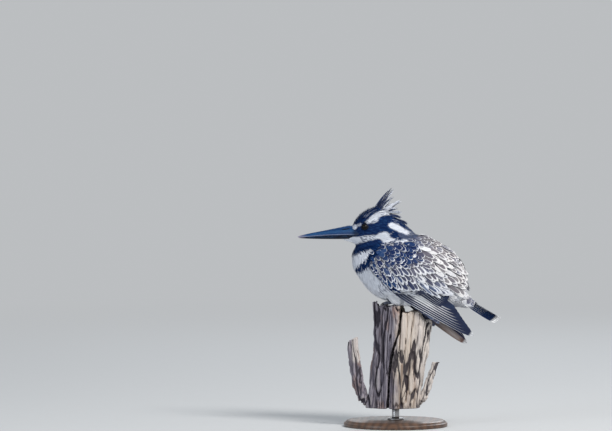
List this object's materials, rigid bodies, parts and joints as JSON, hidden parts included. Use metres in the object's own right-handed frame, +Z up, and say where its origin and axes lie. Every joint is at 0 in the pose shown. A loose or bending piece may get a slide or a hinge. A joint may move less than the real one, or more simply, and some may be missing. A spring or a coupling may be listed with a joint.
{
  "type": "kingfisher",
  "caption": "Life-size still model of a perched pied kingfisher gripping the broken end of a dead limb, on a rod and a round display base.",
  "frame": {"origin": "centre of the display base's flat underside", "axes": "+Z up, the bird faces -Y, +X towards its left side"},
  "size_m": [0.112, 0.221, 0.2572],
  "materials": {
    "base": "dark satin lacquer",
    "rod": "satin",
    "perch_wood": "weathered, bare, cracked along the grain",
    "plumage": "soft feathers, white with black and grey marks",
    "dark_plumage": "long feathers, blue-black with white edges",
    "bill": "horn, satin black",
    "eye": "wet, dark brown to black",
    "foot": "scaly, slate black",
    "claw": "horn, black"
  },
  "bodies": {
    "root": {"stand_base": "base", "stand_rod": "rod", "perch_limb": "perch_wood", "perch_front_shoot": "perch_wood", "perch_hind_shoot": "perch_wood", "head": "plumage", "neck": "plumage", "trunk": "plumage", "wing_left_coverts": "plumage", "wing_right_coverts": "plumage", "crest": "dark_plumage", "tail": "dark_plumage", "wing_left_secondaries": "dark_plumage", "wing_left_primaries": "dark_plumage", "wing_right_secondaries": "dark_plumage", "wing_right_primaries": "dark_plumage", "bill_upper": "bill", "bill_lower": "bill", "eye_left": "eye", "eye_right": "eye", "leg_left": "foot", "leg_right": "foot", "claw_left_outer": "claw", "claw_left_middle": "claw", "claw_left_inner": "claw", "claw_left_hind": "claw", "claw_right_outer": "claw", "claw_right_middle": "claw", "claw_right_inner": "claw", "claw_right_hind": "claw"}
  },
  "joints": []
}
